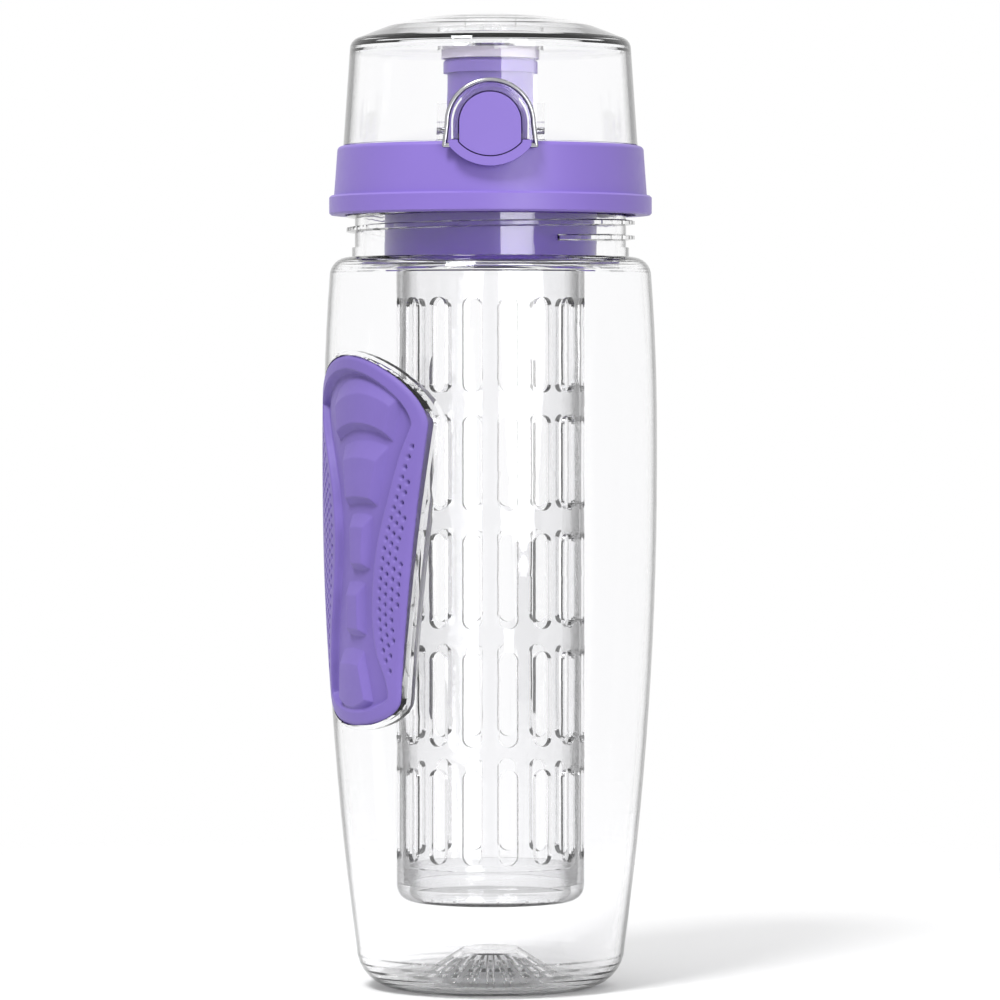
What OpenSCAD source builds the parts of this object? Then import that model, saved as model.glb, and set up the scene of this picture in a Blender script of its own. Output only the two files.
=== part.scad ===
// Infuser water bottle: a clear bottle with a rubber grip, a screw-on lid with a flip-up dome over
// the spout, and a slotted fruit basket that hangs from the lid. The front, with the button, is -Y.

/* [Bottle] */
// Largest radius of the side
body_r = 45; // [44:0.5:48]
// How far the side draws in down to the base fillet
foot_in = 8.7; // [7:0.1:11]
// Radius of the fillet round the base
base_fillet = 11; // [8:0.5:12]
// Height where the lower side reaches its largest radius
belly_z = 140; // [132:1:145]
// Height of the straight part above that
belly_h = 10; // [7:1:16]
// How far the side draws in under the shoulder
shoulder_in = 1.6; // [1:0.1:3]
// Height of the shoulder
shoulder_z = 197; // [195:1:205]
// Radius of the fillet round the shoulder
shoulder_fillet = 5; // [3:0.5:7]
// Thickness of the wall
wall = 2.2; // [1.6:0.1:2.6]
// Height of the push-up in the middle of the base
push_h = 8.5; // [5:0.5:11]
// Radius of the flat top of the push-up
push_top_r = 7.6; // [5:0.2:9]
// Width of the flat ring that the bottle stands on
stand_w = 2.8; // [1.4:0.1:4]
// Width of the step between that ring and the push-up
push_step_w = 3; // [2:0.5:5]
// Radius of each flute round the push-up
flute_r = 1.2; // [0.8:0.1:1.4]

/* [Neck] */
// Width of the shoulder up to the ring at the root of the neck
shoulder_w = 6; // [5.5:0.1:7]
// Thickness of the neck wall
neck_wall = 2.4; // [1.8:0.1:2.6]
// How far the ring at the root of the neck stands out
neck_ring_out = 0.8; // [0.4:0.1:1.2]
// Height of the ring at the root of the neck
neck_ring_h = 2.5; // [1.5:0.1:3]
// Rise of the neck thread in one turn
neck_pitch = 4; // [3.6:0.1:4.4]
// How far the neck thread stands out
neck_ridge_out = 2.3; // [1.8:0.1:2.5]
// Width of a thread ridge at its root
ridge_root_w = 2; // [1.4:0.1:2.2]
// Width of a thread ridge at its crest
ridge_crest_w = 1; // [0.6:0.1:1.2]

/* [Grip] */
// Angle of the grip's middle, round from the front
grip_angle = 58.5; // [50:0.5:70]
// Height of the lowest point of the grip
grip_z = 72; // [66:1:76]
// Distance from the top of the grip up to the shoulder
grip_top_in = 26.5; // [22:0.5:40]
// Half width near the top, where the grip is widest
grip_wide = 27; // [24:0.5:29]
// Half width near the bottom
grip_narrow = 18.3; // [15:0.5:20]
// Thickness of the rubber
grip_t = 2.2; // [2:0.1:3]
// How far the rubber stands proud of the bottle
grip_proud = 0.4; // [0.2:0.1:0.8]
// Depth of the channel down the middle
channel_d = 1.6; // [1:0.1:2]
// Half width of the channel at its waist
channel_waist = 9.6; // [7:0.2:11]

/* [Lid] */
// Clear height between the shoulder and the lid's lip
lid_lift = 11.3; // [10.5:0.1:12.5]
// Height of the lid from its lip to its deck
collar_h = 18.5; // [18:0.1:20]
// Thickness of the side over the thread
collar_wall = 2.9; // [2.5:0.1:3.2]
// How far the lip stands out from the side
lip_out = 1.3; // [0.8:0.1:1.8]
// Height of the lip
lip_h = 5.2; // [4:0.2:6]
// How far the side draws in up to the deck
collar_draft = 0.9; // [0.4:0.1:1.2]
// Thickness of the deck
deck_t = 2.2; // [1.8:0.1:2.4]
// Height of the gasket over the bottle's rim
gasket_h = 3.4; // [2.6:0.1:4]
// Thickness of the spigot that carries the infuser
spigot_wall = 2.2; // [1.8:0.1:2.6]
// Length of the spigot
spigot_h = 13; // [12:0.5:14]

/* [Spout] */
// Radius of the spout
spout_r = 11.6; // [10.5:0.1:12]
// Radius of the bore that is drunk from
spout_bore_r = 7.8; // [5:0.2:8.2]
// How far the spout's rim stands out
spout_rim_out = 1.1; // [0.6:0.1:1.4]
// Height of the spout's rim
spout_rim_h = 3.8; // [3:0.2:5]
// Height of the raised mouth above the rim
mouth_h = 1.7; // [1:0.1:1.8]

/* [Dome] */
// How far the dome's bottom edge stands in from the deck's edge
dome_in = 1.6; // [1.3:0.1:2.2]
// How far the dome draws in up to its roof
dome_draft = 1.8; // [1.4:0.1:2.2]
// Height of the dome
dome_h = 35; // [34.5:0.1:38]
// How far the roof rises inside its fillet
roof_rise = 6; // [4:0.2:6.4]
// Thickness of the dome
dome_wall = 2; // [1.6:0.1:2.2]
// Wall of the disc that holds the spout's seal
retainer_wall = 1.1; // [0.9:0.1:1.6]
// Height of the disc
retainer_h = 3.8; // [3.2:0.1:4]
// How far the spout's seal stands out past the spout
seal_out = 1.6; // [1.4:0.1:1.8]
// Height of the spout's seal
seal_h = 4.6; // [4:0.1:4.8]

/* [Latch] */
// Height of the middle of the button's round top above the deck
button_up = 4.5; // [4.2:0.1:4.8]
// Radius of the button's round top
button_r = 8.1; // [7.8:0.1:8.4]
// How much larger the radius of its bottom edge is
button_low_more = 3; // [2.4:0.1:4]
// How far above the button's middle that edge has its centre
button_low_up = 2.6; // [2.2:0.1:3]
// How far the button stands out from the lid's side
button_out = 2.2; // [1.8:0.1:2.4]
// How far the button travels
button_travel = 1.8; // [1.4:0.1:1.9]
// Thickness of the lid's boss round the button
boss_wall = 2.35; // [2:0.05:2.5]
// Thickness of the dome's hood over the button
hood_wall = 1.75; // [1.4:0.05:1.9]
// Diameter of the bail's wire
bail_d = 1.3; // [1:0.1:1.4]
// How far the bail lies back from the button's face
bail_in = 2.3; // [2:0.1:2.6]
// How far the bail's legs spread down to their pivots
bail_flare = 0.7; // [0.6:0.1:1]
// How far the bail's pivots lie below the button's middle
bail_drop = 5.8; // [5.6:0.1:6]

/* [Hinge] */
// How far the hinge stands in from the deck's edge
hinge_in = 0.6; // [0.4:0.1:0.8]
// Height of the hinge above the deck
hinge_up = 6.2; // [6:0.1:6.6]
// Radius of the knuckles
knuckle_r = 3.5; // [3.2:0.1:3.6]
// Diameter of the pin
pin_d = 2.5; // [2:0.1:2.6]
// Half the width of the room for the spring
spring_room = 5.3; // [5.2:0.1:5.8]
// Half the width over the lid's two knuckles
knuckle_half = 10.2; // [10:0.1:10.4]
// Half the width over the dome's two lugs
lug_half = 15.5; // [15:0.1:16]

/* [Infuser] */
// Room for water between the neck and the infuser's head
head_gap = 5.6; // [5.2:0.1:6.2]
// Thickness of the head's wall
head_wall = 2.1; // [1.8:0.1:2.4]
// Height of the head
head_h = 26.6; // [25:0.2:27]
// How far the basket's side stands in from the head's bore
basket_in = 1.1; // [0.9:0.1:1.6]
// Thickness of the basket's wall
basket_wall = 1.8; // [1.4:0.1:2]
// Height of the basket's base above the bottle's floor
basket_up = 12.8; // [8:0.2:18]
// Height of the basket's base
basket_base_h = 5; // [4.5:0.1:6]
// Rise of the infuser thread in one turn
spigot_pitch = 3.6; // [3.4:0.1:3.8]
// Slots in each row round the basket
slot_count = 16; // [8:2:20]
// Rows of slots
slot_rows = 5; // [3:1:5]
// Width of a slot
slot_w = 5; // [4:0.2:6]
// Wall left between two rows of slots
slot_bridge = 6; // [5:0.2:8]

/* [Hidden] */
$fn = 72;

// Clearances
fit_gap = 0.02;
run_gap = 0.05;
free_gap = 0.3;
thread_gap = 0.4;
over = 1;
sink = 0.5;

// Heights
lip_z = shoulder_z + lid_lift;
deck_z = lip_z + collar_h;
under_z = deck_z - deck_t;
rim_z = under_z - gasket_h - 2 * free_gap;
button_z = deck_z + button_up;
hinge_z = deck_z + hinge_up;
dome_z = deck_z + free_gap;
dome_top_z = dome_z + dome_h;
bail_z = button_z - bail_drop;
rim_chamfer = 0.5;

// Radii, from the side of the bottle in to the neck and out again to the lid and the dome
foot_r = body_r - foot_in;
stand_r = foot_r - base_fillet - stand_w;
push_foot_r = stand_r - push_step_w;
shoulder_r = body_r - shoulder_in;
neck_r = shoulder_r - shoulder_w - neck_ring_out;
neck_in_r = neck_r - neck_wall;
lid_bore_r = neck_r + neck_ridge_out + thread_gap;
lid_crest_r = neck_r + thread_gap;
collar_r = lid_bore_r + collar_wall;
lip_r = collar_r + lip_out;
collar_top_r = collar_r - collar_draft;
dome_r = collar_top_r - dome_in;
dome_top_r = dome_r - dome_draft;
hinge_y = collar_top_r - hinge_in;

// Body steps and profile
waist_z = belly_z + belly_h;
side_steps = 14;
upper_steps = 6;
fillet_steps = 8;
push_rise = 1;
flute_count = 24;

// Grip
grip_h = shoulder_z - grip_top_in - grip_z;
grip_backing = 1.2;
grip_low_h = 8;
grip_top_h = 18.5;
grip_low_z = grip_z + grip_low_h;
grip_wide_z = grip_z + grip_h - grip_top_h;
grip_reach = body_r / 2;
grip_rim = 3.2;
grip_steps = 12;
top_shape_share = 1.1;
channel_lean = 5.2;
channel_waist_share = 0.34;
channel_curve_share = 1.6;
channel_waist_z = grip_z + grip_h * channel_waist_share;
channel_low_w = grip_narrow - grip_rim;
channel_wide_w = grip_wide - grip_rim;
// Each block: the height of its middle, its height and its half width, as shares of the grip's
// height, height and top half width
block_shares = [[0.855, 0.17, 0.56], [0.68, 0.15, 0.34], [0.49, 0.14, 0.19], [0.315, 0.14, 0.18],
    [0.135, 0.15, 0.36]];

// Lid
seal_clear = 1.1;
seal_bore_r = neck_r + seal_clear;
seal_bore_h = deck_t * 2;
collar_fillet = 1.2;
skirt_t = 1.6;
skirt_clear = 0.6;
skirt_out_r = neck_in_r - skirt_clear;
skirt_h = 6;
gasket_out_r = seal_bore_r - free_gap;
gasket_in_r = skirt_out_r + free_gap;
neck_turns = 3.25;
neck_start_angle = -61;
neck_start_up = 4.6;
neck_start_z = shoulder_z + neck_start_up;
lid_turns = 1.25;
lid_start_turns = 2;

// Spout
seal_r = spout_r + seal_out;
spout_touch_gap = 0.08;
spout_base_r = spout_r + spout_rim_out + run_gap;
spout_base_h = 1.2;
spout_flange_out = 2.3;
spout_flange_r = spout_base_r + spout_flange_out;
spout_flange_t = 1.6;
spout_gasket_t = 1;
mouth_in = 1.6;
mouth_taper = 1.1;
mouth_gap = 1;
mouth_r = spout_r - mouth_in;
mouth_top_r = mouth_r - mouth_taper;
rim_round = 0.8;

// Button and latch
button_t = 3.1;
button_gap = 0.35;
button_face = collar_r + button_out;
pocket_y = button_face - button_t - button_travel - free_gap;
boss_out = 0.4;
boss_face = button_face + boss_out;
boss_grow = button_gap + boss_wall;
boss_half = button_r + boss_grow;
bail_y = button_face - bail_in;
stem_w = 9.8;
stem_z = deck_z + free_gap;
stem_h = 7.6;
wing_in = 2.1;
wing_w = 2.3;
wing_t = 1.5;
wing_h = 2;
wing_y = dome_r - wing_in;
stem_tail = 6.1;
stem_back = wing_y - stem_tail;
tab_w = 3.4;
tab_t = 1.9;
tab_h = 1.3;
tab_y = wing_y + free_gap;
tab_in = 0.7;
tab_x = stem_w / 2 + tab_in;
tab_z = dome_z + free_gap;
wing_z = tab_z + tab_h + free_gap;
housing_t = 1.6;
housing_grow = 2;
housing_front = wing_y - wing_t - button_travel - free_gap;
coil_room = 8.3;
housing_back = stem_back - coil_room;
peg_r = 1.4;
peg_h = 1.6;
hook_in = 2.2;
hook_gap = 0.2;
bail_wire_r = bail_d / 2;
bail_gap = 0.45;
bail_r = button_r + button_gap + hood_wall + bail_gap + bail_wire_r;
bail_pivot_x = bail_r + bail_flare;
bail_hole_in = bail_pivot_x - bail_wire_r - hook_in - hook_gap;

// Button spring
coil_d = 0.7;
coil_r = 2.4;
coil_turns = 4.5;
coil_rings = 8;
coil_sides = 6;

// Hinge spring
twist_d = 0.8;
twist_r = 2.35;
twist_turns = 5.75;
twist_half = spring_room - twist_d / 2 - free_gap;
twist_leg_up = 9.5;
twist_leg_in = hinge_y - dome_top_r + dome_wall + twist_d / 2;
twist_bend = 1.2;

// Dome
dome_fillet = 3;
dome_inner_fillet = 5;
roof_edge_share = 0.92;
roof_steps = 8;
hood_in = 0.6;
hood_face = button_face - hood_in;
hood_grow = button_gap + hood_wall;
hood_rim_t = 1;
hood_rim_out = 0.5;
boss_in_r = 7;
stud_r = 2;
knuckle_back = 1.5;
lug_top = 7.4;
lug_in = 2.7;
lug_front = dome_top_r - lug_in;
retainer_r = seal_r + retainer_wall;
retainer_up = 0.3;
retainer_top_z = dome_z + dome_h - roof_rise + retainer_up;
retainer_top_t = 1.4;
seal_top_z = retainer_top_z - retainer_top_t - fit_gap;
spout_top_z = seal_top_z - seal_h - spout_touch_gap;

// Infuser
infuser_gasket_h = 1.9;
head_top_z = under_z - infuser_gasket_h - 2 * free_gap;
head_z = head_top_z - head_h;
head_r = neck_in_r - head_gap;
head_bore_r = head_r - head_wall;
spigot_gap = 1.9;
spigot_r = head_bore_r - spigot_gap;
spigot_in_r = spigot_r - spigot_wall;
head_crest_r = spigot_r + thread_gap;
head_seat_h = 11;
head_taper = 0.6;
head_taper_h = 1.5;
spigot_crest_r = head_bore_r - free_gap;
spigot_turns = 1.25;
head_turns = 1;
spigot_thread_up = 2.6;
spigot_thread_z = under_z - spigot_h + spigot_thread_up;
basket_r = head_bore_r - basket_in;
flange_in = 1.1;
flange_r = head_r - flange_in;
flange_t = 1.5;
basket_low_z = push_h + wall + basket_up;
basket_base_z = basket_low_z + basket_base_h;
basket_fillet = 4;
base_plug_h = 4.5;
slot_margin_top = 9.5;
slot_margin_low = 6.3;
slot_top_z = head_z - slot_margin_top;
slot_low_z = basket_base_z + slot_margin_low;
slot_len = (slot_top_z - slot_low_z - (slot_rows - 1) * slot_bridge) / slot_rows;
slot_pitch = slot_len + slot_bridge;

lavender = [0.56, 0.46, 0.83];
clear = [0.86, 0.92, 0.95, 0.4];
silicone = [0.88, 0.88, 0.92, 0.8];
steel = [0.72, 0.73, 0.75];

// Points of an arc about a centre
function arc(cx, cy, r, from, to, n) =
    [for (i = [0 : n]) let (a = from + (to - from) * i / n) [cx + r * cos(a), cy + r * sin(a)]];

// Radius of the bottle's side at a height
function side_r(z) = z < belly_z
    ? body_r - (body_r - foot_r) * pow((belly_z - z) / (belly_z - base_fillet), 2)
    : z < waist_z ? body_r
    : body_r - (body_r - shoulder_r) * pow((z - waist_z) / (shoulder_z - shoulder_fillet - waist_z), 2);

// Points up the side between two heights, moved out by a distance
function side_points(from, to, out, n) =
    [for (i = [0 : n]) let (z = from + (to - from) * i / n) [side_r(z) + out, z]];

// Faces that close a tube of rings with the same number of points
function tube_faces(rings, sides) = concat(
    [[for (k = [0 : sides - 1]) sides - 1 - k]],
    [for (i = [0 : rings - 2], k = [0 : sides - 1]) let (m = (k + 1) % sides)
        for (f = [[i * sides + k, i * sides + m, (i + 1) * sides + k],
            [i * sides + m, (i + 1) * sides + m, (i + 1) * sides + k]]) f],
    [[for (k = [0 : sides - 1]) (rings - 1) * sides + k]]);

// One helical thread ridge from its root radius to its crest radius, with eased ends
module ridge(root_r, crest_r, pitch, turns, start_angle, start_z) {
    per_turn = 36;
    ease = per_turn / 6;
    blunt = per_turn / 12;
    steps = round(turns * per_turn);
    height = crest_r - root_r;
    side = height > 0 ? 1 : -1;
    points = [for (i = [0 : steps])
        let (angle = start_angle + i * 360 / per_turn,
            z = start_z + i * pitch / per_turn,
            share = min(1, (i + blunt) / ease, (steps - i + blunt) / ease),
            tip = root_r + side * sink + (height - side * sink) * share)
        for (p = [[root_r, -side * ridge_root_w / 2], [tip, -side * ridge_crest_w / 2],
            [tip, side * ridge_crest_w / 2], [root_r, side * ridge_root_w / 2]])
        [p.x * cos(angle), p.x * sin(angle), z + p.y]];
    polyhedron(points, tube_faces(steps + 1, 4), convexity = 8);
}

module bottle_outside() {
    inner_r = foot_r - base_fillet;
    cap_r = shoulder_r - shoulder_fillet;
    cap_z = shoulder_z - shoulder_fillet;
    ring_r = neck_r + neck_ring_out;
    rotate_extrude() polygon(concat(
        [[0, push_h], [push_top_r, push_h], [push_foot_r, push_rise], [stand_r, 0]],
        arc(inner_r, base_fillet, base_fillet, -90, 0, fillet_steps),
        side_points(base_fillet + (belly_z - base_fillet) / side_steps, belly_z, 0, side_steps - 1),
        side_points(waist_z, cap_z, 0, upper_steps),
        arc(cap_r, cap_z, shoulder_fillet, 90 / fillet_steps, 90, fillet_steps - 1),
        [[ring_r, shoulder_z], [ring_r, shoulder_z + neck_ring_h], [neck_r, shoulder_z + neck_ring_h],
            [neck_r, rim_z - rim_chamfer], [neck_r - rim_chamfer, rim_z], [0, rim_z]]));
}

module bottle_inside() {
    inner_r = foot_r - base_fillet;
    cap_r = shoulder_r - shoulder_fillet;
    cap_z = shoulder_z - shoulder_fillet;
    rotate_extrude() polygon(concat(
        [[0, push_h + wall], [push_top_r, push_h + wall], [push_foot_r, push_rise + wall],
            [stand_r, wall]],
        arc(inner_r, base_fillet, base_fillet - wall, -90, 0, fillet_steps),
        side_points(base_fillet + (belly_z - base_fillet) / side_steps, belly_z, -wall, side_steps - 1),
        side_points(waist_z, cap_z, -wall, upper_steps),
        arc(cap_r, cap_z, shoulder_fillet - wall, 90 / fillet_steps, 90, fillet_steps - 1),
        [[neck_in_r, shoulder_z - wall], [neck_in_r, rim_z + over], [0, rim_z + over]]));
}

// Round the push-up, flutes that catch the light
module flutes() {
    slope = atan2(push_h - push_rise, push_foot_r - push_top_r);
    for (i = [0 : flute_count - 1])
        rotate([0, 0, i * 360 / flute_count]) translate([push_foot_r, 0, push_rise - flute_r / 2])
            rotate([0, slope - 90, 0]) cylinder(r = flute_r, h = push_foot_r - push_top_r);
}

// Outline of the grip as seen straight on, grown by a margin
function grip_half(g) = concat(
    [for (i = [0 : fillet_steps]) let (a = -90 + 90 * i / fillet_steps)
        [(grip_narrow + g) * cos(a), grip_low_z + (grip_low_h + g) * sin(a)]],
    [for (i = [0 : grip_steps]) let (a = 90 * i / grip_steps)
        [(grip_wide + g) * pow(cos(a), top_shape_share),
            grip_wide_z + (grip_top_h + g) * pow(sin(a), top_shape_share)]]);

function mirrored(points) = concat(points,
    [for (i = [len(points) - 2 : -1 : 1]) [-points[i].x, points[i].y]]);

// A prism of a flat outline, set radially at the grip's angle
module at_grip(reach) {
    rotate([0, 0, -grip_angle]) translate([0, -reach, 0]) rotate([90, 0, 0])
        linear_extrude(body_r) children();
}

// A skin of the bottle's side between two distances from its surface
module side_skin(inner, outer) {
    from = grip_z - grip_rim;
    to = grip_z + grip_h + grip_rim;
    outward = side_points(from, to, outer, side_steps);
    inward = side_points(from, to, inner, side_steps);
    rotate_extrude() polygon(concat(outward,
        [for (i = [len(inward) - 1 : -1 : 0]) inward[i]]));
}

module grip_blank(grow, inner, outer) {
    intersection() {
        side_skin(inner, outer);
        at_grip(grip_reach) polygon(mirrored(grip_half(grow)));
    }
}

module bottle_body() {
    color(clear) difference() {
        union() {
            bottle_outside();
            ridge(neck_r - sink, neck_r + neck_ridge_out, neck_pitch, neck_turns, neck_start_angle,
                neck_start_z);
        }
        difference() {
            bottle_inside();
            grip_blank(grip_backing, -grip_t - run_gap - grip_backing, 0);
        }
        grip_blank(free_gap, -grip_t - run_gap, over);
        flutes();
    }
}

// Half width of the channel at a share of the grip's height
function channel_w(z) = z < channel_waist_z
    ? channel_waist + (channel_low_w - channel_waist)
        * pow((channel_waist_z - z) / (channel_waist_z - grip_z), 2)
    : channel_waist + (channel_wide_w - channel_waist)
        * pow((z - channel_waist_z) / (grip_wide_z - channel_waist_z), channel_curve_share);

// How far the channel's middle leans over at a height
function channel_shift(z) =
    let (share = (z - grip_low_z) / (channel_waist_z - grip_low_z) / 2)
    channel_lean * min(1, max(0, share));

module channel_outline() {
    steps = grip_steps * 2;
    to = grip_wide_z + grip_top_h / 3;
    heights = [for (i = [0 : steps]) grip_low_z + (to - grip_low_z) * i / steps];
    intersection() {
        polygon(concat(
            [[0, grip_z]],
            [for (z = heights) [channel_shift(z) + channel_w(z), z]],
            [[0, grip_z + grip_h]],
            [for (i = [steps : -1 : 0]) [channel_shift(heights[i]) - channel_w(heights[i]), heights[i]]]));
        polygon(mirrored(grip_half(-grip_rim)));
    }
}

module blocks_outline() {
    for (b = block_shares) {
        z = grip_z + b[0] * grip_h;
        h = b[1] * grip_h;
        w = b[2] * grip_wide;
        translate([channel_shift(z) - w, z - h / 2]) square([2 * w, h]);
    }
}

module grip_pad() {
    color(lavender) difference() {
        grip_blank(0, -grip_t, grip_proud);
        intersection() {
            side_skin(-channel_d, over);
            at_grip(grip_reach) difference() {
                channel_outline();
                blocks_outline();
            }
        }
    }
}

module ring(outer_r, inner_r, h) {
    difference() {
        cylinder(r = outer_r, h = h);
        translate([0, 0, -over]) cylinder(r = inner_r, h = h + 2 * over);
    }
}

module lid_gasket() {
    color(silicone) translate([0, 0, rim_z + free_gap])
        ring(gasket_out_r, gasket_in_r, under_z - rim_z - 2 * free_gap);
}

// The lid's deck and skirt, with the plug that stands inside the bottle's neck
module collar_turned() {
    side_z = lip_z + lip_h;
    rotate_extrude() polygon(concat(
        [[lip_r - rim_chamfer, lip_z], [lip_r, lip_z + rim_chamfer], [lip_r, side_z - rim_chamfer],
            [lip_r - rim_chamfer, side_z], [collar_r, side_z]],
        arc(collar_top_r - collar_fillet, deck_z - collar_fillet, collar_fillet, 0, 90, fillet_steps),
        [[spout_base_r + fit_gap, deck_z], [spout_base_r + fit_gap, under_z],
            [skirt_out_r - skirt_t, under_z], [skirt_out_r - skirt_t, under_z - skirt_h],
            [skirt_out_r, under_z - skirt_h], [skirt_out_r, under_z], [seal_bore_r, under_z],
            [seal_bore_r, under_z - seal_bore_h], [lid_bore_r, under_z - seal_bore_h],
            [lid_bore_r, lip_z]]));
}

// A prism along X between two places, of a flat outline in Y and Z
module along_x(from, to) {
    translate([from, 0, 0]) rotate([90, 0, 90]) linear_extrude(to - from) children();
}

// Outline of the button from the front, grown by a margin: a round top over a flatter round bottom
module latch_outline(grow) {
    half = button_r + grow;
    low_r = button_r + button_low_more + grow;
    intersection() {
        union() {
            circle(r = half);
            translate([-half, -low_r]) square([2 * half, low_r]);
        }
        translate([0, button_low_up]) circle(r = low_r);
    }
}

// A prism of the button's outline that points to the front
module latch_prism(grow, from_y, to_y) {
    translate([0, -from_y, button_z]) rotate([90, 0, 0]) linear_extrude(to_y - from_y) latch_outline(grow);
}

module button_boss() {
    intersection() {
        latch_prism(boss_grow, dome_top_r, boss_face);
        translate([-boss_half, -boss_face, lip_z]) cube([2 * boss_half, boss_face, deck_z - lip_z]);
    }
}

// The round-topped wall on the deck that shields the button's stem and carries its spring
module latch_housing() {
    half = button_r + housing_grow;
    color(lavender) {
        intersection() {
            difference() {
                latch_prism(housing_grow, housing_back - housing_t, housing_front);
                latch_prism(housing_grow - housing_t, housing_back, housing_front + over);
            }
            translate([-half, -housing_front, deck_z]) cube([2 * half, housing_front, button_up + half]);
        }
        translate([0, -housing_back + sink, button_z]) rotate([90, 0, 0])
            cylinder(r = peg_r, h = peg_h + sink);
    }
}

// The ring under the deck that the infuser screws on to
module lid_spigot() {
    color(lavender) {
        translate([0, 0, under_z - spigot_h]) ring(spigot_r, spigot_in_r, spigot_h);
        ridge(spigot_r - sink, spigot_crest_r, spigot_pitch, spigot_turns, 0, spigot_thread_z);
    }
}

module lid_knuckles() {
    for (side = [-1, 1]) {
        from = side > 0 ? spring_room : -knuckle_half;
        along_x(from, from + knuckle_half - spring_room) {
            translate([hinge_y, hinge_z]) circle(r = knuckle_r);
            polygon([[hinge_y - knuckle_r, deck_z - sink], [hinge_y - knuckle_r, hinge_z],
                [hinge_y + knuckle_r, hinge_z], [hinge_y + knuckle_r, deck_z + knuckle_back],
                [collar_r - sink, lip_z + lip_h], [hinge_y - knuckle_r, lip_z + lip_h]]);
        }
    }
}

module lid_collar() {
    color(lavender) difference() {
        union() {
            collar_turned();
            ridge(lid_bore_r + sink, lid_crest_r, neck_pitch, lid_turns, neck_start_angle,
                neck_start_z + (lid_start_turns + 0.5) * neck_pitch);
            difference() {
                union() {
                    button_boss();
                    lid_knuckles();
                }
                translate([0, 0, lip_z]) cylinder(r = lid_bore_r + sink, h = under_z - lip_z);
            }
        }
        latch_prism(button_gap, pocket_y, boss_face + over);
        for (side = [-1, 1])
            translate([side * bail_hole_in, -bail_y, bail_z]) rotate([0, side * 90, 0])
                cylinder(r = bail_wire_r + run_gap, h = boss_half);
        translate([-lug_half, hinge_y, hinge_z]) rotate([0, 90, 0])
            cylinder(r = pin_d / 2 + fit_gap, h = 2 * lug_half);
    }
}

module drink_spout() {
    rim_z0 = spout_top_z - spout_rim_h;
    rim_z1 = spout_top_z;
    rim_r = spout_r + spout_rim_out;
    flange_z = under_z - spout_gasket_t - 2 * run_gap;
    color(lavender) rotate_extrude() polygon([
        [spout_bore_r, flange_z - spout_flange_t], [spout_flange_r, flange_z - spout_flange_t],
        [spout_flange_r, flange_z], [spout_base_r, flange_z], [spout_base_r, deck_z + spout_base_h],
        [spout_r, deck_z + spout_base_h], [spout_r, rim_z0], [rim_r, rim_z0],
        [rim_r, rim_z1 - rim_round], [rim_r - rim_round, rim_z1], [mouth_r, rim_z1],
        [mouth_top_r, rim_z1 + mouth_h], [spout_bore_r, rim_z1 + mouth_h]]);
}

module spout_gasket() {
    color(silicone) translate([0, 0, under_z - spout_gasket_t - run_gap])
        ring(spout_flange_r, spout_base_r + fit_gap, spout_gasket_t);
}

module hinge_pin() {
    color(steel) translate([-lug_half, hinge_y, hinge_z]) rotate([0, 90, 0])
        cylinder(r = pin_d / 2, h = 2 * lug_half);
}

// A round wire along a line of points, each with a direction that its rings start from
function unit(v) = v / norm(v);
function wire_points(path, sides_from, r, sides) = [for (i = [0 : len(path) - 1])
    let (ahead = path[min(i + 1, len(path) - 1)] - path[max(i - 1, 0)],
        t = unit(ahead),
        n = unit(sides_from[i] - (sides_from[i] * t) * t),
        b = cross(t, n))
    for (k = [0 : sides - 1]) let (a = -360 * k / sides) path[i] + r * (cos(a) * n + sin(a) * b)];

module wire(path, sides_from, r, sides) {
    polyhedron(wire_points(path, sides_from, r, sides), tube_faces(len(path), sides), convexity = 10);
}

// Least distance between turns of a path, from its middle line
function least_gap(path, apart) = min([for (i = [0 : len(path) - 1 - apart],
    j = [i + apart : len(path) - 1]) norm(path[i] - path[j])]);

coil_from = -stem_back;
coil_to = -housing_back;
coil_angles = [for (i = [0 : coil_turns * coil_rings]) i * 360 / coil_rings];
coil_rise = (coil_to - coil_from - 2 * coil_d) / (len(coil_angles) - 1);
coil_path = concat(
    [[coil_r, coil_from, 0]],
    [for (i = [0 : len(coil_angles) - 1])
        [coil_r * cos(coil_angles[i]), coil_from + coil_d + i * coil_rise, coil_r * sin(coil_angles[i])]],
    [[coil_r * cos(coil_angles[len(coil_angles) - 1]), coil_to,
        coil_r * sin(coil_angles[len(coil_angles) - 1])]]);
coil_sides_from = [for (p = coil_path) [p.x, 0, p.z]];

module button_spring() {
    color(steel) translate([0, 0, button_z])
        wire(coil_path, coil_sides_from, coil_d / 2, coil_sides);
}

// One leg stands on the deck and the other lies up the inside of the dome
twist_steps = twist_turns * coil_rings;
twist_coil = [for (i = [0 : twist_steps]) let (a = 180 - i * 360 / coil_rings)
    [twist_half * (2 * i / twist_steps - 1), twist_r * cos(a), twist_r * sin(a)]];
twist_path = concat(
    [[-twist_half, -twist_r, run_gap - hinge_up]],
    twist_coil,
    [[twist_half, twist_bend - twist_leg_in, -twist_r], [twist_half, -twist_leg_in, twist_bend - twist_r],
        [twist_half, -twist_leg_in, twist_leg_up]]);
twist_sides_from = [for (p = twist_path) [1, 0, 0]];

module hinge_spring() {
    color(steel) translate([0, hinge_y, hinge_z])
        wire(twist_path, twist_sides_from, twist_d / 2, coil_sides);
}
echo(str("Least gap in the button spring ", least_gap(coil_path, coil_rings / 2 + 1) - coil_d, " mm"));
echo(str("Least gap in the hinge spring ", least_gap(twist_path, coil_rings / 2 + 1) - twist_d, " mm"));

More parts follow.
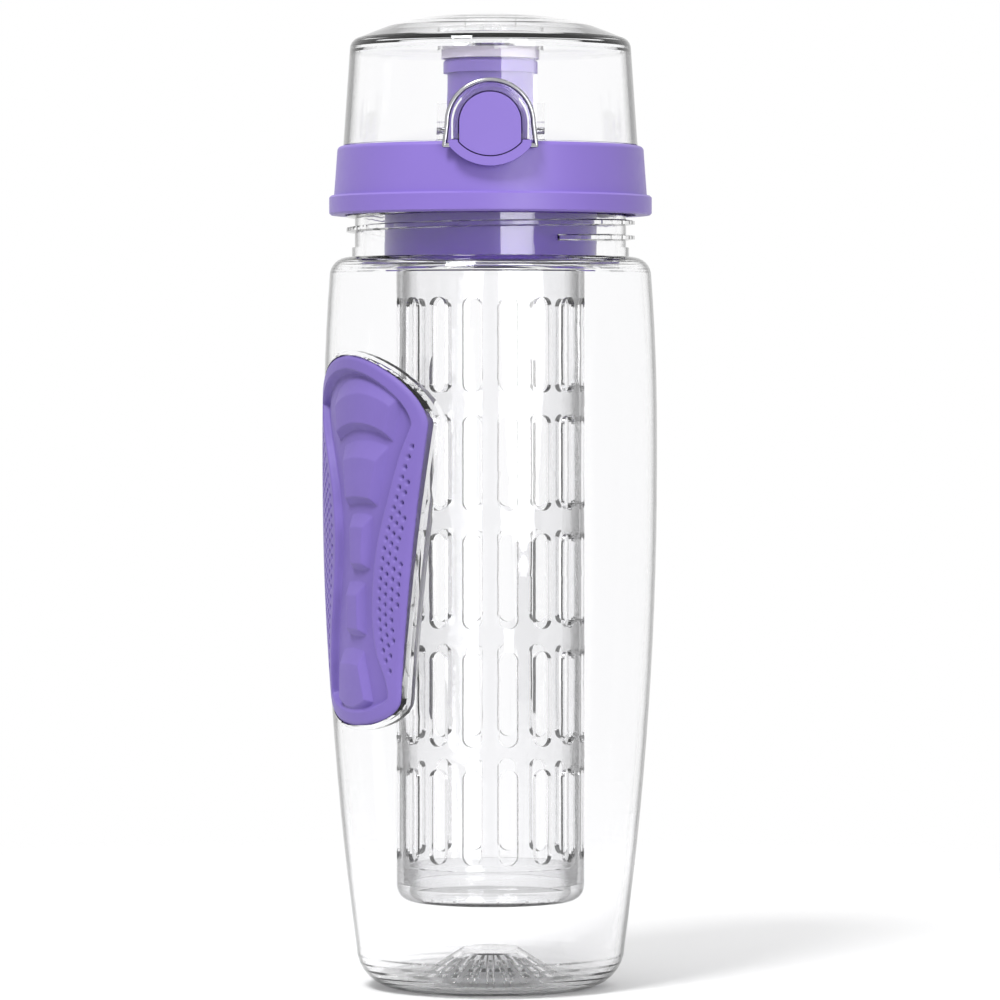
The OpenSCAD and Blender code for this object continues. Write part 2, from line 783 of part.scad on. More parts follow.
module latch_button() {
    wing_half = stem_w / 2 + wing_w;
    color(lavender) {
        latch_prism(0, button_face - button_t, button_face);
        translate([-stem_w / 2, -button_face + button_t - sink, stem_z])
            cube([stem_w, button_face - button_t + sink - stem_back, stem_h]);
        translate([-wing_half, -wing_y, wing_z]) cube([2 * wing_half, wing_t, wing_h]);
        translate([0, -stem_back + peg_h, button_z]) rotate([90, 0, 0])
            cylinder(r = peg_r, h = peg_h + sink);
    }
}

module lock_bail() {
    leg = norm([bail_flare, bail_drop]);
    tilt = atan2(bail_flare, bail_drop);
    bend_r = bail_wire_r + fit_gap;
    color(steel) translate([0, -bail_y, button_z]) {
        rotate([90, 0, 0]) rotate_extrude(angle = 180) translate([bail_r, 0]) circle(r = bail_wire_r);
        for (side = [-1, 1]) {
            translate([side * bail_r, 0, 0]) {
                sphere(r = bend_r);
                rotate([0, 180 - side * tilt, 0]) cylinder(r = bail_wire_r, h = leg);
            }
            translate([side * bail_pivot_x, 0, -bail_drop]) {
                sphere(r = bend_r);
                rotate([0, -side * 90, 0]) cylinder(r = bail_wire_r, h = bail_wire_r + hook_in);
            }
        }
    }
}

// Outline of the dome, and of the space inside it, moved in by a distance
function dome_points(t, fillet) =
    let (fillet_z = dome_top_z - roof_rise - fillet, edge_r = dome_top_r - fillet)
    concat([[dome_r - t, dome_z]],
        arc(edge_r, fillet_z, fillet - t, 0, 60, fillet_steps / 2),
        [for (i = [0 : roof_steps]) let (share = roof_edge_share * (1 - i / roof_steps))
            [edge_r * share, dome_top_z - t - roof_rise * pow(share, 3)]]);

module dome_lugs() {
    for (side = [-1, 1]) {
        from = side > 0 ? knuckle_half + free_gap : -lug_half;
        along_x(from, from + lug_half - knuckle_half - free_gap) {
            translate([hinge_y, hinge_z]) circle(r = knuckle_r);
            polygon([[lug_front, hinge_z - knuckle_r], [hinge_y, hinge_z - knuckle_r],
                [hinge_y + knuckle_r, hinge_z], [hinge_y, hinge_z + lug_top],
                [lug_front, hinge_z + lug_top]]);
        }
    }
}

module dome_cover() {
    notch_r = knuckle_r + 2 * free_gap;
    notch_half = knuckle_half + free_gap;
    color(clear) {
        difference() {
            union() {
                rotate_extrude() polygon(concat([[0, dome_z]], dome_points(0, dome_fillet)));
                intersection() {
                    union() {
                        latch_prism(hood_grow, lug_front, hood_face);
                        latch_prism(button_gap + hood_rim_t, lug_front, hood_face + hood_rim_out);
                    }
                    translate([-dome_r, -boss_face, dome_z]) cube([2 * dome_r, boss_face, dome_h]);
                }
                dome_lugs();
            }
            difference() {
                translate([0, 0, -fit_gap]) rotate_extrude()
                    polygon(concat([[0, dome_z - over], [dome_r - dome_wall, dome_z - over]],
                        dome_points(dome_wall, dome_inner_fillet)));
                translate([0, 0, retainer_top_z]) cylinder(r = boss_in_r, h = dome_h);
                translate([0, 0, retainer_top_z - retainer_top_t])
                    cylinder(r = stud_r, h = dome_h);
            }
            latch_prism(button_gap, lug_front, boss_face + over);
            along_x(-notch_half, notch_half) {
                translate([hinge_y, hinge_z]) circle(r = notch_r);
                translate([hinge_y - notch_r, dome_z - over])
                    square([2 * notch_r, hinge_z - dome_z + over]);
            }
            translate([-lug_half - over, hinge_y, hinge_z]) rotate([0, 90, 0])
                cylinder(r = pin_d / 2 + run_gap, h = 2 * (lug_half + over));
        }
        for (side = [-1, 1])
            translate([side > 0 ? tab_x : -tab_x - tab_w, -tab_y, tab_z])
                cube([tab_w, tab_t, tab_h]);
    }
}

module seal_retainer() {
    cup_z = retainer_top_z - retainer_top_t;
    color(clear) difference() {
        translate([0, 0, retainer_top_z - retainer_h]) cylinder(r = retainer_r, h = retainer_h);
        translate([0, 0, retainer_top_z - retainer_h - over])
            cylinder(r = seal_r + fit_gap, h = retainer_h - retainer_top_t + over);
        translate([0, 0, cup_z - over]) cylinder(r = stud_r + fit_gap, h = retainer_top_t + 2 * over);
    }
}

module spout_seal() {
    low_z = seal_top_z - seal_h;
    recess_h = spout_top_z + mouth_h + free_gap - low_z;
    color(silicone) difference() {
        translate([0, 0, low_z]) cylinder(r = seal_r, h = seal_h);
        translate([0, 0, low_z - over]) cylinder(r = mouth_r + mouth_gap, h = recess_h + over);
    }
}

module infuser_gasket() {
    color(silicone) translate([0, 0, head_top_z + free_gap])
        ring(head_r - free_gap, head_bore_r, infuser_gasket_h);
}

module infuser_head() {
    bore_z = head_z + head_seat_h;
    color(lavender) {
        rotate_extrude() polygon([[basket_r + fit_gap, head_z], [head_r - head_taper, head_z],
            [head_r, head_z + head_taper_h], [head_r, head_top_z], [head_bore_r, head_top_z],
            [head_bore_r, bore_z], [basket_r + fit_gap, bore_z]]);
        ridge(head_bore_r + sink, head_crest_r, spigot_pitch, head_turns, 0,
            spigot_thread_z - spigot_pitch / 2);
    }
}

module slot_outline() {
    straight = slot_len - slot_w;
    translate([-slot_w / 2, slot_w / 2]) square([slot_w, straight]);
    for (y = [slot_w / 2, slot_w / 2 + straight]) translate([0, y]) circle(r = slot_w / 2, $fn = 48);
}

module basket_tube() {
    color(clear) difference() {
        rotate_extrude() polygon([[basket_r - basket_wall, basket_base_z], [basket_r, basket_base_z],
            [basket_r, head_z - run_gap - flange_t], [flange_r, head_z - run_gap - flange_t],
            [flange_r, head_z - run_gap], [basket_r, head_z - run_gap],
            [basket_r, head_z + head_seat_h - free_gap],
            [basket_r - basket_wall, head_z + head_seat_h - free_gap]]);
        for (row = [0 : slot_rows - 1], i = [0 : slot_count - 1])
            rotate([0, 0, (i + 0.5) * 360 / slot_count])
                translate([0, basket_wall + over - basket_r, slot_low_z + row * slot_pitch])
                    rotate([90, 0, 0]) linear_extrude(basket_wall + 2 * over) slot_outline();
    }
}

module basket_base() {
    inner_r = basket_r - basket_wall;
    color(clear) rotate_extrude() polygon(concat(
        [[0, basket_low_z]],
        arc(basket_r - basket_fillet, basket_low_z + basket_fillet, basket_fillet, -90, 0, fillet_steps),
        [[basket_r, basket_base_z - run_gap], [inner_r - fit_gap, basket_base_z - run_gap],
            [inner_r - fit_gap, basket_base_z + base_plug_h],
            [inner_r - basket_wall, basket_base_z + base_plug_h],
            [inner_r - basket_wall, basket_low_z + basket_wall], [0, basket_low_z + basket_wall]]));
}

bottle_body();
grip_pad();
lid_gasket();
lid_collar();
lid_spigot();
latch_housing();
drink_spout();
spout_gasket();
hinge_pin();
hinge_spring();
button_spring();
latch_button();
lock_bail();
dome_cover();
seal_retainer();
spout_seal();
infuser_gasket();
infuser_head();
basket_tube();
basket_base();
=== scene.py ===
"""Studio picture of a clear infuser water bottle with a lavender lid, rubber grip and steel bail."""
import math

import bpy
import numpy as np
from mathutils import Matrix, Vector


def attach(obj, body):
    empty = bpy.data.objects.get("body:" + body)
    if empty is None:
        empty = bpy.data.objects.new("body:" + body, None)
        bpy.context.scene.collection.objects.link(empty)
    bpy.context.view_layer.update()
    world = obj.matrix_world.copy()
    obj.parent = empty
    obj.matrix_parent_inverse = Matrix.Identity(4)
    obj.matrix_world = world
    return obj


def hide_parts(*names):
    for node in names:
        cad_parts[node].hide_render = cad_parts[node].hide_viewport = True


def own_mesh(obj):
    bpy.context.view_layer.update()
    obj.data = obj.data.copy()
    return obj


MM = 0.001

# The picture's framing: the size of a pixel at the bottle's axis and the camera's distance, in metres,
# and the photograph's width, the bottle's axis, its foot and the camera's height, in pixels
PIXEL = 0.27 * MM
CAMERA_DISTANCE = 1.5
IMAGE_SIZE = 1000
AXIS_PIXEL = 490.5
FLOOR_PIXEL = 987
EYE_PIXEL = 372
SENSOR_WIDTH = 36

# Levels of the sky, from 0 straight down to 1 straight up
SKY_LEVELS = [(0.0, 0.05), (0.5, 0.3), (1.0, 1.1)]

# Each lamp: its name, place, size and power, in metres and watts, and the point that the lamps face
LAMPS = [
    ("key", (-0.45, -0.8, 1.4), 0.45, 18.0),
    ("fill", (0.5, -1.2, 0.35), 0.7, 6.5),
]
LAMP_AIM = (0, 0, 0.13)

# The floor, which fades out between two distances from its middle; its lengths are in metres
FLOOR_RADIUS = 0.9
FLOOR_SIDES = 96
FLOOR_COLOUR = (0.93, 0.93, 0.935, 1)
FLOOR_ROUGHNESS = 0.6
FLOOR_SHINE = 0.15
FADE_START = 0.10
FADE_END = 0.5

# Colours of the pieces that aren't clear
LAVENDER = (0.215, 0.145, 0.505)
# The infuser head's lavender, darkened with painted shade for where it sits under the lid inside the bottle
SHADED_LAVENDER = (0.095, 0.03, 0.42)
RUBBER = (0.168, 0.114, 0.41)
SILICONE = (0.86, 0.80, 0.94)
# Steel's grey, lowered with painted dark reflection, and a painted dark reflection on its edges seen edge
# on
STEEL_WITH_PAINTED_DIMMING = (0.38, 0.38, 0.40)
STEEL_PAINTED_DARK_EDGE = (0.15, 0.15, 0.16, 1)

# How strongly each material bends light
CLEAR_IOR = 1.48
PLASTIC_IOR = 1.46
SILICONE_IOR = 1.41

# Clear plastic, and painted shade on it: the share of its colour kept, from seen straight on to seen edge
# on
CLEAR = (0.99, 0.99, 0.995)
BODY_EDGE_SHADE = [(0.0, 1.0), (0.7, 0.96), (0.76, 0.5), (0.81, 0.06), (1.0, 0.01)]
LID_EDGE_SHADE = [(0.0, 1.0), (0.6, 0.97), (0.68, 0.45), (0.73, 0.04), (1.0, 0.01)]
BASKET_EDGE_SHADE = [(0.0, 0.99), (0.45, 0.9), (0.62, 0.3), (0.78, 0.04), (1.0, 0.01)]

# How far outwards a wall faces where its painted edge shade starts and where it is full: -1 faces the
# piece's axis and 1 faces away from it, so limits below -1 put the painted shade on every wall
BODY_OUTWARDS = (-0.1, 0.2)
LID_OUTWARDS = (0.1, 0.4)
BASKET_OUTWARDS = (-1.2, -1.1)

# The bottle's side, which the grip follows, in millimetres
BODY_R = 45.0
FOOT_R = 36.3
BASE_FILLET = 11.0
BELLY_Z = 140.0
WAIST_Z = 150.0
SHOULDER_R = 43.4
SHOULDER_Z = 197.0
SHOULDER_FILLET = 5.0

# The grip, in millimetres, straight on: places across it and heights
GRIP_ANGLE = 58.5
GRIP_Z = 72.0
GRIP_H = 98.5
GRIP_WIDE = 27.0
GRIP_NARROW = 18.3
GRIP_LOW_H = 8.0
GRIP_TOP_H = 18.5
GRIP_TOP_SHAPE = 1.1
GRIP_THICK = 2.05
GRIP_PROUD = 0.35
GRIP_EDGE = 1.3
GRIP_EDGE_DROP = 0.9
GRIP_RIM = 3.4
GRIP_ROWS = 360
GRIP_COLUMNS = 200
OUTLINE_POINTS = 240
# Share by which the rows crowd towards both ends, and share of the height that the last rows stop short
END_CROWDING = 0.12
END_INSET = 0.00002
CHANNEL_DEPTH = 2.0
CHANNEL_SLOPE = 1.6
CHANNEL_RIGHT = [(72, 15.2), (84.5, 14.4), (91, 12.0), (99, 10.9), (108, 11.2), (121.5, 13.6), (132, 16.8),
                 (145, 20.8), (155, 24.6), (171, 27.0)]
CHANNEL_LEFT = [(72, -15.2), (84.5, -14.6), (94, -12.4), (105, -9.2), (115, -7.0), (124, -6.4), (132, -7.4),
                (145, -12.8), (155, -20.0), (171, -27.0)]
# Each raised block: its low and high edge, its middle and half width at the top and at the bottom,
# how far its top and bottom edges arch, and the width of its top bevel
BLOCKS = [
    (147.5, 165.0, 5.6, 15.0, 5.0, 11.6, 4.5, -3.4, 4.6),
    (130.5, 148.0, 5.9, 9.6, 5.0, 6.4, 1.6, -0.8, 4.6),
    (113.5, 128.6, 4.8, 4.5, 4.3, 3.9, 0.6, 0.2, 3.6),
    (96.0, 110.5, 1.9, 4.1, 1.6, 4.2, 0.4, 0.2, 3.6),
    (75.3, 92.6, -1.3, 5.5, -1.2, 9.2, 0.6, 3.2, 4.2),
]
BLOCK_HEIGHT = 1.9
# Widths of the bevels at a block's sides and foot, and the share by which its taper runs past its edges
BLOCK_SIDE = 1.6
BLOCK_UNDER = 1.7
BLOCK_OVERRUN = 0.2
DIMPLE_R = 0.64
DIMPLE_TALL = 1.25
DIMPLE_DEPTH = 1.4
DIMPLE_STEEPNESS = 1.6
DIMPLE_UP = 1.35
DIMPLE_ACROSS = 1.9
DIMPLE_COLUMNS = 5
DIMPLE_LOW = 87.0
DIMPLE_HIGH = 153.0
DIMPLE_MARGIN = 2.3


# Meshes

def mesh_object(name, points, faces):
    mesh = bpy.data.meshes.new(name)
    mesh.from_pydata([tuple(p) for p in points], [], faces)
    mesh.validate()
    mesh.polygons.foreach_set("use_smooth", [True] * len(mesh.polygons))
    obj = bpy.data.objects.new(name, mesh)
    bpy.context.scene.collection.objects.link(obj)
    return obj


def smooth(x):
    x = np.clip(x, 0.0, 1.0)
    return x * x * (3 - 2 * x)


def curve_through(points, heights):
    """A smooth line through a few (height, place) points."""
    known = np.array([p[0] for p in points], float)
    place = np.array([p[1] for p in points], float)
    slope = np.gradient(place, known)
    i = np.clip(np.searchsorted(known, heights) - 1, 0, len(known) - 2)
    step = known[i + 1] - known[i]
    t = np.clip((heights - known[i]) / step, 0, 1)
    return ((2 * t ** 3 - 3 * t ** 2 + 1) * place[i] + (t ** 3 - 2 * t ** 2 + t) * step * slope[i]
            + (3 * t ** 2 - 2 * t ** 3) * place[i + 1] + (t ** 3 - t ** 2) * step * slope[i + 1])


def side_radius(z):
    lower = BODY_R - (BODY_R - FOOT_R) * (np.clip(BELLY_Z - z, 0, None) / (BELLY_Z - BASE_FILLET)) ** 2
    upper_h = SHOULDER_Z - SHOULDER_FILLET - WAIST_Z
    return lower - (BODY_R - SHOULDER_R) * (np.clip(z - WAIST_Z, 0, None) / upper_h) ** 2


def grip_half_width(z):
    """Half the width of the grip's outline at a height."""
    low_z = GRIP_Z + GRIP_LOW_H
    wide_z = GRIP_Z + GRIP_H - GRIP_TOP_H
    low = GRIP_NARROW * np.sqrt(np.clip(1 - ((low_z - z) / GRIP_LOW_H) ** 2, 0, 1))
    middle = GRIP_NARROW + (GRIP_WIDE - GRIP_NARROW) * (z - low_z) / (wide_z - low_z)
    lift = np.clip((z - wide_z) / GRIP_TOP_H, 0, 1) ** (1 / GRIP_TOP_SHAPE)
    high = GRIP_WIDE * np.clip(1 - lift ** 2, 0, 1) ** (GRIP_TOP_SHAPE / 2)
    return np.where(z < low_z, low, np.where(z < wide_z, middle, high))


def edge_distance(s, z):
    """Distance of each point from the grip's outline."""
    t = np.linspace(0, math.pi, OUTLINE_POINTS)
    line_z = GRIP_Z + GRIP_H / 2 * (1 - np.cos(t))
    line_s = grip_half_width(line_z)
    nearest = np.full(s.shape, np.inf)
    for a, b in zip(line_s, line_z):
        nearest = np.minimum(nearest, (np.abs(s) - a) ** 2 + (z - b) ** 2)
    return np.sqrt(nearest)


def block_lift(s, z, block):
    """How much of its height a raised block has at each point, from 0 beside it to 1 on its face."""
    low, high, top_at, top_half, low_at, low_half, arch_top, arch_low, bevel = block
    share = np.clip((z - low) / (high - low), -BLOCK_OVERRUN, 1 + BLOCK_OVERRUN)
    middle = low_at + (top_at - low_at) * share
    half = low_half + (top_half - low_half) * share
    across = (s - middle) / half
    over_low = z - (low + arch_low * (across ** 2 if arch_low > 0 else across ** 2 - 1))
    under_high = high - arch_top * across ** 2 - z
    sides = (half - np.abs(s - middle)) / BLOCK_SIDE
    return np.clip(np.minimum(np.minimum(over_low / BLOCK_UNDER, under_high / bevel), sides), 0, 1)


def dimple_places():
    """Middles of the dimples that run down both flanks in staggered columns."""
    places = []
    rows = int((DIMPLE_HIGH - DIMPLE_LOW) / DIMPLE_UP)
    for row in range(rows):
        z = DIMPLE_LOW + row * DIMPLE_UP
        for side, border in ((1, CHANNEL_RIGHT), (-1, CHANNEL_LEFT)):
            start = float(curve_through(border, np.array([z]))[0])
            stop = float(grip_half_width(np.array([z]))[0])
            for column in range(DIMPLE_COLUMNS):
                if (column + row) % 2:
                    continue
                s = start + side * (DIMPLE_MARGIN + column * DIMPLE_ACROSS)
                if side * s < stop - DIMPLE_MARGIN:
                    places.append((s, z))
    return places


def grip_relief(s, z):
    """How far the rubber stands out from the bottle's side at each point."""
    edge = edge_distance(s, z)
    right = curve_through(CHANNEL_RIGHT, z)
    left = curve_through(CHANNEL_LEFT, z)
    inside = np.minimum(np.minimum(right - s, s - left), edge - GRIP_RIM)
    channel = smooth(inside / CHANNEL_SLOPE)
    relief = GRIP_PROUD - CHANNEL_DEPTH * channel
    for block in BLOCKS:
        relief = relief + BLOCK_HEIGHT * block_lift(s, z, block) * channel
    for a, b in dimple_places():
        across = (s - a) / DIMPLE_R
        along = (z - b) / (DIMPLE_R * DIMPLE_TALL)
        near = (np.abs(across) < 1) & (np.abs(along) < 1)
        far = np.sqrt(across[near] ** 2 + along[near] ** 2)
        relief[near] -= DIMPLE_DEPTH * smooth(DIMPLE_STEEPNESS * (1 - far))
    t = np.clip(edge / GRIP_EDGE, 0, 1)
    return relief - GRIP_EDGE_DROP * (1 - np.sqrt(t * (2 - t)))


def on_side(s, z, out):
    """Places on the bottle's side, moved out, from places across the grip and heights."""
    radius = side_radius(z) + out
    forward = np.sqrt(radius ** 2 - s ** 2)
    a = math.radians(GRIP_ANGLE)
    x = s * math.cos(a) - forward * math.sin(a)
    y = -s * math.sin(a) - forward * math.cos(a)
    return np.stack([x, y, z], axis=-1) * MM


def grip_heights():
    """Heights of the grip's rows of points."""
    up = np.linspace(0, math.pi, GRIP_ROWS + 1)
    even = np.linspace(0, 1, GRIP_ROWS + 1)
    share = (1 - END_CROWDING) * even + END_CROWDING * (1 - np.cos(up)) / 2
    share[0] = END_INSET
    share[-1] = 1 - END_INSET
    return GRIP_Z + GRIP_H * share


def sheet_faces(rows, columns):
    """Faces of a closed sheet whose front and back are grids of points, the back's after the front's."""
    back = rows * columns
    faces = []
    for row in range(rows - 1):
        for column in range(columns - 1):
            a = row * columns + column
            faces.append((a, a + 1, a + columns + 1, a + columns))
            faces.append((back + a, back + a + columns, back + a + columns + 1, back + a + 1))
    low = list(range(columns))
    right = [row * columns + columns - 1 for row in range(1, rows)]
    high = [(rows - 1) * columns + column for column in range(columns - 2, -1, -1)]
    left = [row * columns for row in range(rows - 2, 0, -1)]
    rim = low + right + high + left
    for a, b in zip(rim, rim[1:] + rim[:1]):
        faces.append((b, a, back + a, back + b))
    return faces


def make_grip():
    rows = GRIP_ROWS + 1
    columns = GRIP_COLUMNS + 1
    z = np.repeat(grip_heights()[:, None], columns, axis=1)
    s = grip_half_width(z) * np.linspace(-1, 1, columns)[None, :]
    front = on_side(s, z, grip_relief(s, z)).reshape(-1, 3)
    back = on_side(s, z, np.full(s.shape, -GRIP_THICK)).reshape(-1, 3)
    grip = mesh_object("grip_rubber", np.concatenate([front, back]), sheet_faces(rows, columns))
    grip.data.materials.append(rubber())
    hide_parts("grip_pad")
    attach(grip, "bottle")


def make_button_coil(node):
    """The button's spring, copied as a mesh of its own and fixed to the lid."""
    coil = bpy.data.objects.new("button_coil", node.data.copy())
    bpy.context.scene.collection.objects.link(coil)
    coil.matrix_world = node.matrix_world.copy()
    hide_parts("button_spring")
    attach(coil, "lid")
    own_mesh(coil)


# Materials

def new_material(name):
    made = bpy.data.materials.new(name)
    made.use_nodes = True
    tree = made.node_tree
    shader = tree.nodes["Principled BSDF"]
    return made, tree, shader


def add(tree, kind, **values):
    node = tree.nodes.new(kind)
    for key, value in values.items():
        setattr(node, key, value)
    return node


def noise(tree, scale, detail):
    """Noise fixed to the piece; the scale is in features a metre."""
    where = add(tree, "ShaderNodeTexCoord")
    node = add(tree, "ShaderNodeTexNoise")
    node.inputs["Scale"].default_value = scale
    node.inputs["Detail"].default_value = detail
    tree.links.new(where.outputs["Object"], node.inputs["Vector"])
    return node.outputs["Fac"]


def ramp(tree, value, stops):
    """Colours by a value, blended between stops that each give a place and a colour."""
    node = add(tree, "ShaderNodeValToRGB")
    band = node.color_ramp
    while len(band.elements) < len(stops):
        band.elements.new(0.5)
    for element, (at, colour) in zip(band.elements, stops):
        element.position = at
        element.color = (*colour, 1.0)
    tree.links.new(value, node.inputs["Fac"])
    return node.outputs["Color"]


def tint(tree, shader, colour, vary, scale, detail):
    """A colour that drifts by a share either way, in patches."""
    darker = tuple(c * (1 - vary) for c in colour)
    lighter = tuple(c * (1 + vary) for c in colour)
    shade = ramp(tree, noise(tree, scale, detail), [(0.3, darker), (0.7, lighter)])
    tree.links.new(shade, shader.inputs["Base Color"])


def gloss(tree, shader, low, high, scale, detail):
    """Roughness that drifts from low to high, in patches."""
    node = add(tree, "ShaderNodeMapRange")
    node.inputs["To Min"].default_value = low
    node.inputs["To Max"].default_value = high
    tree.links.new(noise(tree, scale, detail), node.inputs["Value"])
    tree.links.new(node.outputs["Result"], shader.inputs["Roughness"])


def grain(tree, shader, strength, height, scale, detail):
    """A fine unevenness of the surface."""
    node = add(tree, "ShaderNodeBump")
    node.inputs["Strength"].default_value = strength
    node.inputs["Distance"].default_value = height
    tree.links.new(noise(tree, scale, detail), node.inputs["Height"])
    tree.links.new(node.outputs["Normal"], shader.inputs["Normal"])


def outwards(tree, low, high):
    """From 0 to 1, between two limits, as a surface turns from facing the piece's axis to facing away."""
    where = add(tree, "ShaderNodeTexCoord")
    level = add(tree, "ShaderNodeVectorMath", operation="MULTIPLY")
    level.inputs[1].default_value = (1, 1, 0)
    tree.links.new(where.outputs["Object"], level.inputs[0])
    unit = add(tree, "ShaderNodeVectorMath", operation="NORMALIZE")
    tree.links.new(level.outputs[0], unit.inputs[0])
    along = add(tree, "ShaderNodeVectorMath", operation="DOT_PRODUCT")
    tree.links.new(unit.outputs[0], along.inputs[0])
    tree.links.new(where.outputs["Normal"], along.inputs[1])
    node = add(tree, "ShaderNodeMapRange")
    node.inputs["From Min"].default_value = low
    node.inputs["From Max"].default_value = high
    tree.links.new(along.outputs["Value"], node.inputs["Value"])
    return node.outputs["Result"]


def clear_plastic(name, edge_shade, limits):
    """Clear moulded plastic: bright straight through, with painted shade that darkens its colour where an
    outer wall is seen edge on.
    """
    made, tree, shader = new_material(name)
    shader.inputs["Transmission Weight"].default_value = 1.0
    shader.inputs["IOR"].default_value = CLEAR_IOR
    # Painted shade: the colour darkens as an outer wall turns edge on to the view
    facing = add(tree, "ShaderNodeLayerWeight")
    facing.inputs["Blend"].default_value = 0.5
    edge_on = add(tree, "ShaderNodeMath", operation="MULTIPLY")
    tree.links.new(facing.outputs["Facing"], edge_on.inputs[0])
    tree.links.new(outwards(tree, *limits), edge_on.inputs[1])
    stops = [(at, tuple(share * c for c in CLEAR)) for at, share in edge_shade]
    tree.links.new(ramp(tree, edge_on.outputs[0], stops), shader.inputs["Base Color"])
    gloss(tree, shader, low=0.01, high=0.035, scale=900, detail=4)
    grain(tree, shader, strength=0.05, height=0.4 * MM, scale=45, detail=1)
    return made


def moulded_plastic(name, colour, low, high):
    """Satin moulded plastic with a fine grain and a roughness from low to high."""
    made, tree, shader = new_material(name)
    shader.inputs["IOR"].default_value = PLASTIC_IOR
    tint(tree, shader, colour, vary=0.03, scale=35, detail=2)
    gloss(tree, shader, low, high, scale=420, detail=4)
    grain(tree, shader, strength=0.12, height=0.04 * MM, scale=5200, detail=2)
    return made


def rubber():
    made, tree, shader = new_material("grip_rubber")
    shader.inputs["Sheen Weight"].default_value = 0.08
    tint(tree, shader, RUBBER, vary=0.04, scale=60, detail=3)
    gloss(tree, shader, low=0.5, high=0.66, scale=700, detail=4)
    grain(tree, shader, strength=0.22, height=0.05 * MM, scale=6500, detail=3)
    return made


def silicone():
    made, tree, shader = new_material("silicone")
    shader.inputs["Transmission Weight"].default_value = 0.25
    shader.inputs["IOR"].default_value = SILICONE_IOR
    tint(tree, shader, SILICONE, vary=0.03, scale=90, detail=2)
    gloss(tree, shader, low=0.38, high=0.5, scale=600, detail=3)
    grain(tree, shader, strength=0.1, height=0.03 * MM, scale=3000, detail=2)
    return made


def steel():
    made, tree, shader = new_material("steel_wire")
    shader.inputs["Metallic"].default_value = 1.0
    # Painted dark reflection on the wire's edges seen edge on
    shader.inputs["Specular Tint"].default_value = STEEL_PAINTED_DARK_EDGE
    tint(tree, shader, STEEL_WITH_PAINTED_DIMMING, vary=0.1, scale=240, detail=3)
    gloss(tree, shader, low=0.12, high=0.24, scale=1500, detail=3)
    grain(tree, shader, strength=0.06, height=0.02 * MM, scale=2600, detail=2)
    return made


def dress_nodes(nodes):
    lid_nodes = ["lid_collar", "lid_spigot", "latch_housing", "latch_button", "drink_spout"]
    looks = {
        clear_plastic("clear_body", BODY_EDGE_SHADE, BODY_OUTWARDS): ["bottle_body"],
        clear_plastic("clear_basket", BASKET_EDGE_SHADE, BASKET_OUTWARDS): ["basket_tube", "basket_base"],
        clear_plastic("clear_lid", LID_EDGE_SHADE, LID_OUTWARDS): ["dome_cover", "seal_retainer"],
        moulded_plastic("lavender_lid", LAVENDER, low=0.34, high=0.46): lid_nodes,
        # The infuser head gets the lavender darkened with painted shade
        moulded_plastic("lavender_painted_shade", SHADED_LAVENDER, low=0.26, high=0.38): ["infuser_head"],
        silicone(): ["lid_gasket", "spout_gasket", "spout_seal", "infuser_gasket"],
        steel(): ["lock_bail", "hinge_pin", "hinge_spring", "button_spring"],
    }
    for look, names in looks.items():
        for name in names:
            mesh = nodes[name].data
            mesh.materials.clear()
            mesh.materials.append(look)


# Camera, light and floor

def make_camera():
    data = bpy.data.cameras.new("camera")
    camera = bpy.data.objects.new("camera", data)
    bpy.context.scene.collection.objects.link(camera)
    bpy.context.scene.camera = camera
    span = IMAGE_SIZE * PIXEL
    data.sensor_width = SENSOR_WIDTH
    data.lens = data.sensor_width * CAMERA_DISTANCE / span
    across = (IMAGE_SIZE / 2 - AXIS_PIXEL) * PIXEL
    eye = (FLOOR_PIXEL - EYE_PIXEL) * PIXEL
    middle = (FLOOR_PIXEL - IMAGE_SIZE / 2) * PIXEL
    camera.location = (across, -CAMERA_DISTANCE, eye)
    aim = Vector((across, 0, middle)) - camera.location
    camera.rotation_mode = "QUATERNION"
    camera.rotation_quaternion = aim.to_track_quat("-Z", "Y")


def make_lamp(name, place, size, power):
    data = bpy.data.lights.new(name, "AREA")
    data.shape = "DISK"
    data.size = size
    data.energy = power
    lamp = bpy.data.objects.new(name, data)
    lamp.location = place
    lamp.rotation_mode = "QUATERNION"
    lamp.rotation_quaternion = (Vector(LAMP_AIM) - Vector(place)).to_track_quat("-Z", "Y")
    bpy.context.scene.collection.objects.link(lamp)


def make_world():
    """White wherever the camera looks, also in metal and glass; a plain sky lights the rest."""
    world = bpy.data.worlds.new("studio")
    bpy.context.scene.world = world
    world.use_nodes = True
    tree = world.node_tree
    where = add(tree, "ShaderNodeTexCoord")
    parts = add(tree, "ShaderNodeSeparateXYZ")
    tree.links.new(where.outputs["Generated"], parts.inputs[0])
    height = add(tree, "ShaderNodeMapRange")
    height.inputs["From Min"].default_value = -1.0
    tree.links.new(parts.outputs["Z"], height.inputs["Value"])
    sky = ramp(tree, height.outputs["Result"], [(at, (level, level, level)) for at, level in SKY_LEVELS])
    paths = add(tree, "ShaderNodeLightPath")
    shown = paths.outputs["Is Camera Ray"]
    for ray in ("Is Glossy Ray", "Is Transmission Ray"):
        either = add(tree, "ShaderNodeMath", operation="MAXIMUM")
        tree.links.new(shown, either.inputs[0])
        tree.links.new(paths.outputs[ray], either.inputs[1])
        shown = either.outputs[0]
    mix = add(tree, "ShaderNodeMix", data_type="RGBA")
    mix.inputs["B"].default_value = (1, 1, 1, 1)
    tree.links.new(shown, mix.inputs["Factor"])
    tree.links.new(sky, mix.inputs["A"])
    tree.links.new(mix.outputs["Result"], tree.nodes["Background"].inputs["Color"])


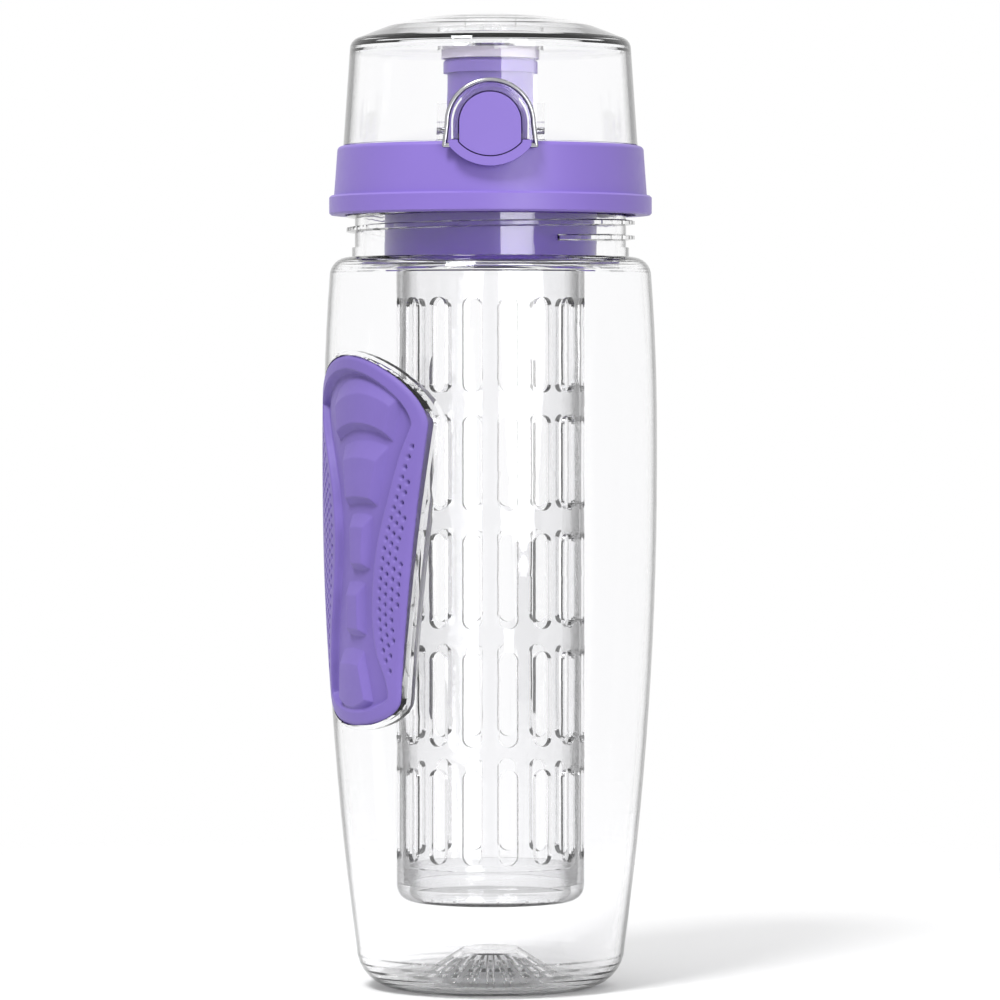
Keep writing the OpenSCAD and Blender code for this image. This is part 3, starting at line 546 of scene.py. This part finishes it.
def floor_paint():
    """A pale floor round the bottle that fades out into the white background."""
    made, tree, shader = new_material("floor_white")
    shader.inputs["Base Color"].default_value = FLOOR_COLOUR
    shader.inputs["Roughness"].default_value = FLOOR_ROUGHNESS
    shader.inputs["Specular IOR Level"].default_value = FLOOR_SHINE
    where = add(tree, "ShaderNodeTexCoord")
    length = add(tree, "ShaderNodeVectorMath", operation="LENGTH")
    tree.links.new(where.outputs["Object"], length.inputs[0])
    fade = add(tree, "ShaderNodeMapRange", interpolation_type="SMOOTHSTEP")
    fade.inputs["From Min"].default_value = FADE_START
    fade.inputs["From Max"].default_value = FADE_END
    tree.links.new(length.outputs["Value"], fade.inputs["Value"])
    clear = add(tree, "ShaderNodeBsdfTransparent")
    mix = add(tree, "ShaderNodeMixShader")
    tree.links.new(fade.outputs["Result"], mix.inputs["Fac"])
    tree.links.new(shader.outputs[0], mix.inputs[1])
    tree.links.new(clear.outputs[0], mix.inputs[2])
    tree.links.new(mix.outputs[0], tree.nodes["Material Output"].inputs["Surface"])
    return made


def make_floor():
    turns = [2 * math.pi * i / FLOOR_SIDES for i in range(FLOOR_SIDES)]
    rim = [(FLOOR_RADIUS * math.cos(turn), FLOOR_RADIUS * math.sin(turn), 0) for turn in turns]
    faces = [(0, i + 1, (i + 1) % FLOOR_SIDES + 1) for i in range(FLOOR_SIDES)]
    floor = mesh_object("floor", [(0, 0, 0)] + rim, faces)
    floor.data.materials.append(floor_paint())


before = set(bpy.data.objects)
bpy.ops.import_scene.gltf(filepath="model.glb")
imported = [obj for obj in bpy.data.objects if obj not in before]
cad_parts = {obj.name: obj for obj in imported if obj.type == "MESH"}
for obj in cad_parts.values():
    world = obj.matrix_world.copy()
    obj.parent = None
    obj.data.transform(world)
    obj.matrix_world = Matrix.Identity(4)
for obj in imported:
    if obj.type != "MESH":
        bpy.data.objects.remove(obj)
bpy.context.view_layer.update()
bpy.context.scene.view_settings.view_transform = "Standard"
make_camera()
make_world()
make_floor()
for name, place, size, power in LAMPS:
    make_lamp(name, place, size, power)
dress_nodes(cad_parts)
make_grip()
make_button_coil(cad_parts["button_spring"])
